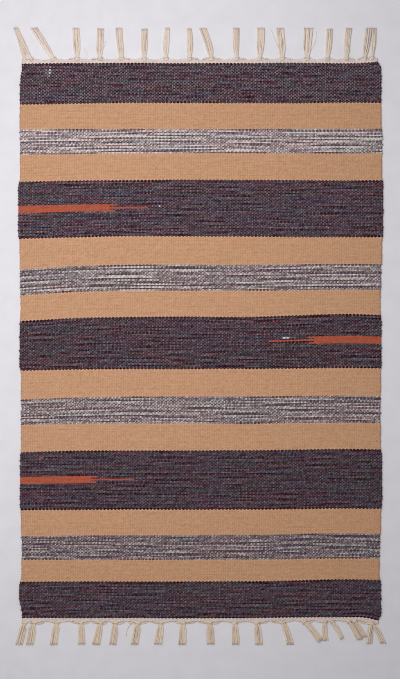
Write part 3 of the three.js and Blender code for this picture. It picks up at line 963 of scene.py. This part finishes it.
NEAR_TASSELS = [
    Tassel(-290, -299.5, 0.5, 0, 3),
    Tassel(-275, -281.5, 0, 0, 3),
    Tassel(-237, -242.5, 0.5, 0, 3),
    Tassel(-197, -196, 0.5, 0.5, 3),
    Tassel(-165, -172.5, 0, 0, 3),
    Tassel(-140.5, -145, 0.5, 0, 3),
    Tassel(-103, -109.5, 0, 0, 3),
    Tassel(-65.5, -70.5, 0.5, 0.5, 3),
    Tassel(-28.5, -30.5, 0, 0, 3),
    Tassel(15, 16.5, 0.5, 0.5, 3),
    Tassel(56.5, 58, 0, 0, 3),
    Tassel(93, 95.5, 0.5, 0, 3),
    Tassel(136, 148, 1, 0, 3),
    Tassel(171.5, 198.5, 1.5, 5.5, 3, -0.25),
    Tassel(205.5, 207, -4, 6, 2),
    Tassel(217, 233.5, 1, 9, 2),
    Tassel(245, 263.5, 0.5, 6.5, 2),
    Tassel(254.5, 270, 1, 11, 2),
    Tassel(281, 276, -0.5, 1.5, 2, -0.5),
    Tassel(283.5, 301, 2, 2, 2, 0.3),
]
print("tassels at the far end and the near one:", len(FAR_TASSELS), len(NEAR_TASSELS))

# outward is the direction of the tassels along Y, pick the weave's edge there, cloth_pick the cloth's, trim
# where the ends are cut, loops how often the outermost end of a tassel hangs slack, slack how far it then
# does, and flare how much a tassel widens towards its tip.
End = namedtuple("End", "name outward pick cloth_pick trim loops slack flare tassels")
ENDS = [
    End("far", 1, 0, HEADER_PICKS, far_edge + FRINGE_FAR, 0.45, (2.2, 3.6), 0.1, FAR_TASSELS),
    End("near", -1, PICKS, PICKS - HEADER_PICKS, near_edge - FRINGE_NEAR, 0.5, (3, 5.5), 0.3, NEAR_TASSELS),
]

# %% The place of a knot and the curve of a tassel
# A knot sits KNOT_OUT from the edge of the cloth, and its middle is KNOT_HEIGHT above the floor.
KNOT_OUT = 7
KNOT_HEIGHT = 2.5


def out_from_cloth(end, across, out):
    """A place beside an end of the cloth, across from the middle line and out from the cloth's edge."""
    warps = np.arange(WARPS) + 0.5
    x, y, _ = place(warps, np.full(WARPS, float(end.cloth_pick)))
    return np.array([across, np.interp(across, x, y) + end.outward * out])


def knot_of(end, tassel):
    """The middle of a tassel's knot on the floor."""
    return out_from_cloth(end, tassel.root, KNOT_OUT)


def tassel_curve(end, tassel, at, shorter):
    """Places and directions along a tassel from its knot to where one of its ends is cut."""
    knot = knot_of(end, tassel)
    tip = np.array([tassel.tip, end.trim - end.outward * tassel.short])
    bow = (knot + tip) / 2 + np.array([tassel.bend, 0])
    length = np.linalg.norm(tip - knot)
    at = at * (1 - shorter / length)
    centre = bezier([knot, bow, tip], at)
    tangent = 2 * (1 - at)[:, None] * (bow - knot) + 2 * at[:, None] * (tip - bow)
    return centre, tangent / np.linalg.norm(tangent, axis=1)[:, None]


def slant_of(end, tassel):
    """How much less of an end shows for each millimetre it lies aside, where the fringe is cut straight."""
    _, along = tassel_curve(end, tassel, np.array([1.0]), 0)
    return -along[0, 0] / along[0, 1]


# %% [markdown]
# The way of a warp end
#
# Straight tubes would look like sticks. Each end leaves the weave near its edge, bends over to its knot, and
# a few of the outermost ones hang slack there and sag to the floor. Beyond the knot an end keeps to its lane
# and layer in a lock, the lock turns slowly, and every end wavers a little. A tassel with more ends has
# thinner ones, so that the locks are about equally thick.

# %% From the header to the knot
# TUCK is how deep in the weave an end starts. It turns TURN_OUT outside of it, and again SWING_DEPTH short of
# its knot, and SWING_OUT and SWING_IN are the shares of the way aside that lie in these turns. An end with
# FULL_SLACK or more sags down to the floor.
SWING_STEPS = 6
HEADER_HEIGHT = 1.4
TUCK = 1.2
TURN_OUT = 0.6
SWING_OUT = 0.2
SWING_IN = 0.3
SWING_DEPTH = 2.2
TIGHT_SLACK = (0, 0.9)
FULL_SLACK = 2.5
SAG_RISE = 0.2


def swing(end, start, knot, radius, outermost, rng):
    """The path of a warp end out of the weave, along its edge and in to the knot."""
    slack = rng.uniform(*(end.slack if outermost and rng.random() < end.loops else TIGHT_SLACK))
    reach = knot[0] - start[0]
    turn_out = [start[0] + SWING_OUT * reach, start[1] + end.outward * (TURN_OUT + slack)]
    turn_in = [knot[0] - SWING_IN * reach, knot[1] - end.outward * (SWING_DEPTH - slack)]
    at = np.linspace(0, 1, SWING_STEPS + 1)[:-1]
    laid = bezier([start - np.array([0, end.outward * TUCK]), turn_out, turn_in, knot], at)
    sag = np.sin(np.pi * at) * min(1, slack / FULL_SLACK)
    height = HEADER_HEIGHT + (KNOT_HEIGHT - HEADER_HEIGHT) * at ** 2
    height = height * (1 - sag) + (radius + SAG_RISE * rng.random()) * sag
    return np.column_stack([laid, height])


# %% From the knot to the tip
# The pitches are the distances between locks and, in radii, between yarns. GATHER is the share of a tassel
# over which its ends spread from the knot, KNOT_GATHER how much of their spread they have in it, and RIDE
# where a tassel climbs on its neighbour. Locks begin LOCK_TURN apart, in radians, and twist on by TWIST up to
# their tips. Ends waver by WAVER to both sides. A tassel that is short by RAGGED_FROM or more isn't trimmed.
TASSEL_STEPS = 11
LOCK_PITCH = 3.1
YARN_PITCH = 1.5
GATHER = 0.3
KNOT_GATHER = 0.35
RIDE = (0.15, 0.5)
LOCK_TURN = 0.5
TWIST = (0.3, 0.9)
WAVER = (0.15, 0.5)
WAVER_RATES = (4, 9)
WAVER_STARTS = (0, 6)
LIE_RISE = 0.15
TRIMMED_TIPS = (0, 0.7)
RAGGED_TIPS = (0, 3)
RAGGED_FROM = 4


def lie(end, tassel, lock, lane, layer, radius, hand, rng):
    """The path of a warp end along its tassel. lane is how far it lies beside the middle of its lock."""
    ragged = tassel.short >= RAGGED_FROM
    pitch = YARN_PITCH * radius
    at = np.linspace(0, 1, TASSEL_STEPS)
    spread = rise(at, 0, GATHER)
    turn = LOCK_TURN * (lock - 1) + rng.uniform(*TWIST) * at * hand
    waver = rng.uniform(*WAVER) * np.sin(at * rng.uniform(*WAVER_RATES) + rng.uniform(*WAVER_STARTS))
    flat_lane = lane * np.cos(turn) + (layer - 0.5) * pitch * np.sin(turn)
    aside = (lock - (tassel.locks - 1) / 2) * LOCK_PITCH + flat_lane
    widening = 1 + (end.flare + tassel.fan) * at
    aside = aside * (KNOT_GATHER + (1 - KNOT_GATHER) * spread) * widening + waver * spread
    shorter = rng.uniform(*(RAGGED_TIPS if ragged else TRIMMED_TIPS))
    shorter += 0 if ragged else slant_of(end, tassel) * aside[-1]
    centre, along = tassel_curve(end, tassel, at, shorter)
    height = radius + layer * pitch * np.abs(np.cos(turn)) + LIE_RISE * rng.random()
    height = height * spread + KNOT_HEIGHT * (1 - spread) + tassel.over * rise(at, *RIDE)
    laid = centre + np.stack([along[:, 1], -along[:, 0]], axis=-1) * aside[:, None]
    return np.column_stack([laid, height])


# %% All the warp ends
# An end has the radius YARN_RADIUS where FULL_LOCK of them lie in a lock. Every tassel gets FEWEST_ENDS or
# more.
YARN_RADIUS = 0.92
RADIUS_LIMITS = (0.78, 1.15)
RADIUS_VARIES = (0.92, 1.08)
FULL_LOCK = 4.2
FEWEST_ENDS = 6


def lay_tassel(end, tassel, members, header, hand, rng):
    """A path and a radius for each warp end of a tassel. header holds where the ends leave the weave."""
    knot = knot_of(end, tassel)
    locks = np.arange(len(members)) * tassel.locks // len(members)
    radius = float(np.clip(YARN_RADIUS * math.sqrt(FULL_LOCK * tassel.locks / len(members)), *RADIUS_LIMITS))
    laid_ends = []
    for order, warp in enumerate(members):
        in_lock = np.flatnonzero(locks == locks[order])
        place_in_lock = order - in_lock[0]
        lane = (place_in_lock // 2 - (math.ceil(len(in_lock) / 2) - 1) / 2) * YARN_PITCH * radius
        swung = swing(end, header[warp], knot, radius, order in (0, len(members) - 1), rng)
        laid = lie(end, tassel, locks[order], lane, place_in_lock % 2, radius, hand, rng)
        laid_ends.append((np.concatenate([swung, laid]), radius * rng.uniform(*RADIUS_VARIES)))
    return laid_ends


def warp_ends(end, rng):
    """A path and a radius for each warp end. It goes to the nearest tassel, and each gets at least a few."""
    x, y, _ = place(np.arange(WARPS) + 0.5, np.full(WARPS, float(end.pick)))
    header = np.stack([x, y], axis=-1)
    roots = np.array([tassel.root for tassel in end.tassels])
    limits = np.searchsorted(x, (roots[:-1] + roots[1:]) / 2)
    for number in range(len(limits)):
        limits[number] = max(limits[number], FEWEST_ENDS * (number + 1))
        limits[-1 - number] = min(limits[-1 - number], WARPS - FEWEST_ENDS * (number + 1))
    owner = np.searchsorted(limits, np.arange(WARPS), side="right")
    laid_ends = []
    for number, tassel in enumerate(end.tassels):
        hand = 1 if number % 2 else -1
        laid_ends += lay_tassel(end, tassel, np.flatnonzero(owner == number), header, hand, rng)
    return laid_ends


# %% [markdown]
# Loose threads and knots
#
# A few single threads have come out of the tassels. Only the longest show, so they are laid one by one. A
# real overhand knot is a loop that the whole bundle goes through. From above it shows as three turns of yarn
# that slant across the bundle and one that crosses them, so each knot has just these four, wound around the
# bundle's path, with their ends tucked in under it.

# %% Loose threads
STRAND_STEPS = 13

# start, bow and tip are places beside the cloth: across from the middle line, and out from the cloth's edge.
Strand = namedtuple("Strand", "end start bow tip radius")
STRANDS = [
    Strand("near", (-106, 8), (-121, 7), (-122.5, 29), 0.55),
    Strand("near", (284, 11), (283.5, 26), (282.5, 41), 0.75),
    Strand("near", (-279, 16), (-288, 18), (-290, 24), 0.35),
    Strand("far", (180, 20), (192, 30), (190.5, 53), 0.45),
    Strand("far", (133, 14), (125, 32), (117, 54), 0.4),
    Strand("far", (-191, 5), (-190, 16), (-191.5, 26), 0.3),
    Strand("far", (-188, 5), (-187, 12), (-187.5, 20), 0.3),
    Strand("far", (-163, 22), (-156, 28), (-157.5, 36), 0.4),
]


def strand_path(end, strand):
    """The path of a loose thread on the floor, lifted a little in its middle."""
    at = np.linspace(0, 1, STRAND_STEPS)
    laid = bezier([out_from_cloth(end, *point) for point in (strand.start, strand.bow, strand.tip)], at)
    return np.column_stack([laid, strand.radius * (1 + np.sin(np.pi * at))])


print("loose threads:", len(STRANDS))

# %% The knots
# slant is how far a wrap shifts along the knot on its way around, place where its middle lies, and layer how
# far out it goes.
Wrap = namedtuple("Wrap", "slant place layer")
WRAPS = [Wrap(2.6, -1.9, 1.0), Wrap(3.6, -0.5, 1.0), Wrap(2.4, 1.1, 1.0), Wrap(-4.6, 0.2, 1.22)]

# A wrap goes KNOT_WIDTH out to the sides and KNOT_RISE up, and makes KNOT_TURN turns. TUCK_IN is the share of
# its width that it loses towards its ends, and NARROW_KNOT the width of a knot with two locks, as a share of
# one with three.
FRINGE_SEED = 11
KNOT_STEPS = 13
KNOT_WIDTH = 3.9
KNOT_WIDTHS = (0.9, 1.06)
NARROW_KNOT = 0.8
KNOT_YARN = 0.88
KNOT_RISE = 1.85
KNOT_TURN = 1.15
KNOT_TILT = 0.2
KNOT_SHIFT = 0.3
TUCK_IN = 0.45
TUCK_POWER = 4


def wrap_path(knot, axis, wrap, narrow, hand, rng):
    """The path of one wrap around a bundle that lies along axis."""
    share = np.linspace(0, 1, KNOT_STEPS)
    angle = 2 * np.pi * KNOT_TURN * (share - 0.5) + np.pi / 2 + rng.uniform(-KNOT_TILT, KNOT_TILT)
    tuck = 1 - TUCK_IN * np.abs(2 * share - 1) ** TUCK_POWER
    width = narrow * wrap.layer * KNOT_WIDTH * rng.uniform(*KNOT_WIDTHS)
    along = wrap.place + hand * wrap.slant * (share - 0.5) + rng.uniform(-KNOT_SHIFT, KNOT_SHIFT)
    beside = (width * tuck * np.cos(angle))[:, None] * np.cross(axis, UPWARD)
    above = (KNOT_RISE * wrap.layer * tuck * np.sin(angle))[:, None] * UPWARD
    return np.array([*knot, KNOT_HEIGHT]) + beside + above + along[:, None] * axis


def knot_tubes(end, rng, first_number):
    """The yarns that wrap each bundle at its knot."""
    tubes = []
    for tassel in end.tassels:
        _, along = tassel_curve(end, tassel, np.array([0.0]), 0)
        axis = np.array([*along[0], 0.0])
        hand = 1 if rng.random() < 0.5 else -1
        narrow = NARROW_KNOT if tassel.locks == 2 else 1.0
        for wrap in WRAPS:
            path = wrap_path(knot_of(end, tassel), axis, wrap, narrow, hand, rng)
            tubes.append(tube(path, YARN_RADIUS * KNOT_YARN, first_number + len(tubes), reference=axis))
    return tubes


fringes = {}
for end in ENDS:
    rng = np.random.default_rng(FRINGE_SEED + end.outward)
    tubes = [tube(path, radius, number) for number, (path, radius) in enumerate(warp_ends(end, rng))]
    tubes += knot_tubes(end, rng, len(tubes))
    loose = [strand for strand in STRANDS if strand.end == end.name]
    tubes += [tube(strand_path(end, each), each.radius, len(tubes) + i) for i, each in enumerate(loose)]
    fringe = join_tubes("fringe_yarn_" + end.name, tubes)
    fringes[end.name] = fringe
    print(end.name, "fringe triangles:", sum(len(face.vertices) - 2 for face in fringe.data.polygons))

# %% [markdown]
# Undyed cotton
#
# The warp is undyed cotton in plies, twisted and matt, a warm cream with painted shade where the plies meet
# and painted light on their tops. The map named yarn gives each tube its number, how far around it a point
# lies and how far along in millimetres. The twist is drawn once every four millimetres, as on real warp yarn,
# and the spots of deeper colour are eight millimetres long.

# %% The warp yarn's material
# SPOT_RATES says how many spots there are around a yarn and on a millimetre of it. How light it is comes from
# its twist, which paints shade between the plies and light on their tops, from its own tone and from the
# spots, in these shares.
TWIST_PITCH = 4.0
TWIST_DEPTH = 0.00025
TWIST_BUMP = 0.3
SPOT_RATES = (2.3, 0.12, 1)
SPOT_DETAIL = 2.0
TWIST_SHADE_SHARE = 0.05
OWN_SHARE = 0.45
SPOT_SHARE = 0.55
TONE_LIMITS = (0.15, 0.85)
WARP_ROUGHNESS = 0.9
WARP_GLOSS = 0.1


def warp_yarn(name, deep, pale):
    """Plied, undyed cotton yarn."""
    material, tree = new_material(name)
    yarn_map = add(tree, "UVMap", uv_map="yarn")
    split = add(tree, "SeparateXYZ", {0: yarn_map})
    across, along = split.outputs["X"], split.outputs["Y"]
    turned = 2 * math.pi * (YARN_SIDES + 1) / YARN_SIDES
    around = add(tree, "Math", {0: across, 1: turned}, operation="MULTIPLY")
    twist_rate = 2 * math.pi / TWIST_PITCH
    twist = add(tree, "Math", {0: along, 1: twist_rate, 2: around}, operation="MULTIPLY_ADD")
    ply = add(tree, "Math", {0: twist}, operation="SINE")
    number = add(tree, "Math", {0: across}, operation="FLOOR")
    own = add(tree, "TexWhiteNoise", {"W": number}, noise_dimensions="1D")
    spots_at = add(tree, "VectorMath", {0: yarn_map, 1: SPOT_RATES}, operation="MULTIPLY")
    spots = add(tree, "TexNoise", {"Vector": spots_at, "Scale": 1.0, "Detail": SPOT_DETAIL})
    light = 0.0
    # The twist's share is painted shade between the plies and painted light on their tops.
    for part, share in ((ply, TWIST_SHADE_SHARE), (own, OWN_SHARE), (spots, SPOT_SHARE)):
        light = add(tree, "Math", {0: part, 1: share, 2: light}, operation="MULTIPLY_ADD")
    tones = [(TONE_LIMITS[0], deep), (TONE_LIMITS[1], pale)]
    colour = add(tree, "ValToRGB", {"Fac": light}, stops=tones)
    cotton_surface(tree, colour, WARP_ROUGHNESS, WARP_GLOSS, ply, TWIST_BUMP, TWIST_DEPTH)
    return material


WARP_YARNS = {
    "far": ("undyed cotton warp yarn", "#DCC8B6", "#F7E9DD"),
    "near": ("undyed cotton warp yarn, a little yellower", "#E0C8B0", "#FAEAD6"),
}
for name, piece in fringes.items():
    piece.data.materials.append(warp_yarn(*WARP_YARNS[name]))
print("warp yarns:", len(WARP_YARNS))

# %% [markdown]
# Floor and light
#
# The rug lies on plain pale paper. One large soft box hangs nearly a metre above its far left part, which
# lights that part fully and lets the near right corner fall off, and a pale surround fills the rest.
# A float is only a pixel or two large in the picture, so the filter is narrow, and the denoiser gets its
# guides as they are, because smoothed ones would blur the floats.

# %% The studio
# The floor lies FLOOR_DROP millimetres under the rug, and all else here is in metres and watts. PAPER_CLOUDS
# faint clouds in the tone of the paper lie across it. FILTER_WIDTH is in pixels.
FLOOR_SIZE = 24.0
FLOOR_DROP = 0.1
PAPER_CLOUDS = 900.0
PAPER_DETAIL = 2.0
PAPER_TONES = [(0.3, "#E9E7EC"), (0.7, "#EEECF0")]
PAPER_ROUGHNESS = 0.95
PAPER_GLOSS = 0.1
KEY_PLACE = (-0.25, 0.26, 0.95)
KEY_SIZE = (0.79, 1.34)
KEY_POWER = 8.55
FILL_TONE = "#F4F3F6"
FILL_STRENGTH = 0.33
FILTER_WIDTH = 1.0

floor_mesh = bpy.data.meshes.new("paper_floor")
half = FLOOR_SIZE / 2
corners = [(-half, -half), (half, -half), (half, half), (-half, half)]
floor_mesh.from_pydata([(x, y, -FLOOR_DROP * MM) for x, y in corners], [], [(0, 1, 2, 3)])
floor = bpy.data.objects.new("paper_floor", floor_mesh)
bpy.context.scene.collection.objects.link(floor)
paper, tree = new_material("matt white paper")
clouds = add(tree, "TexNoise", {"Scale": PAPER_CLOUDS, "Detail": PAPER_DETAIL})
tone = add(tree, "ValToRGB", {"Fac": clouds}, stops=PAPER_TONES)
matt = add(tree, "BsdfPrincipled", {
    "Base Color": tone,
    "Roughness": PAPER_ROUGHNESS,
    "Specular IOR Level": PAPER_GLOSS,
})
add(tree, "OutputMaterial", {"Surface": matt})
floor_mesh.materials.append(paper)

key_data = bpy.data.lights.new("soft_box", "AREA")
key_data.shape = "RECTANGLE"
key_data.size, key_data.size_y = KEY_SIZE
key_data.energy = KEY_POWER
key = bpy.data.objects.new("soft_box", key_data)
key.location = KEY_PLACE
bpy.context.scene.collection.objects.link(key)

world = bpy.data.worlds.new("pale_surround")
world.use_nodes = True
world.node_tree.nodes.clear()
air = add(world.node_tree, "Background", {"Color": linear(FILL_TONE), "Strength": FILL_STRENGTH})
add(world.node_tree, "OutputWorld", {"Surface": air})
bpy.context.scene.world = world
bpy.context.scene.view_settings.view_transform = "Standard"
bpy.context.scene.cycles.filter_width = FILTER_WIDTH
bpy.context.scene.cycles.denoising_prefilter = "NONE"
print("the soft box's height, in m:", KEY_PLACE[2])

# %% [markdown]
# Fitting the pieces to the frame
#
# Every piece rides on the rug's one body. The stripes stand for the model's plain cloth, and the headers and
# yarns for its plain fringes.

# %% Bodies and nodes
for number, (piece, _) in enumerate(woven):
    band = BANDS[number]
    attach(piece, "root")
    if band.yarn == "header":
        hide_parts("fringe_far" if band is FAR_HEADER else "fringe_near")
    else:
        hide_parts("rug_cloth")
for name, piece in fringes.items():
    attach(piece, "root")
    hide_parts("fringe_" + name)
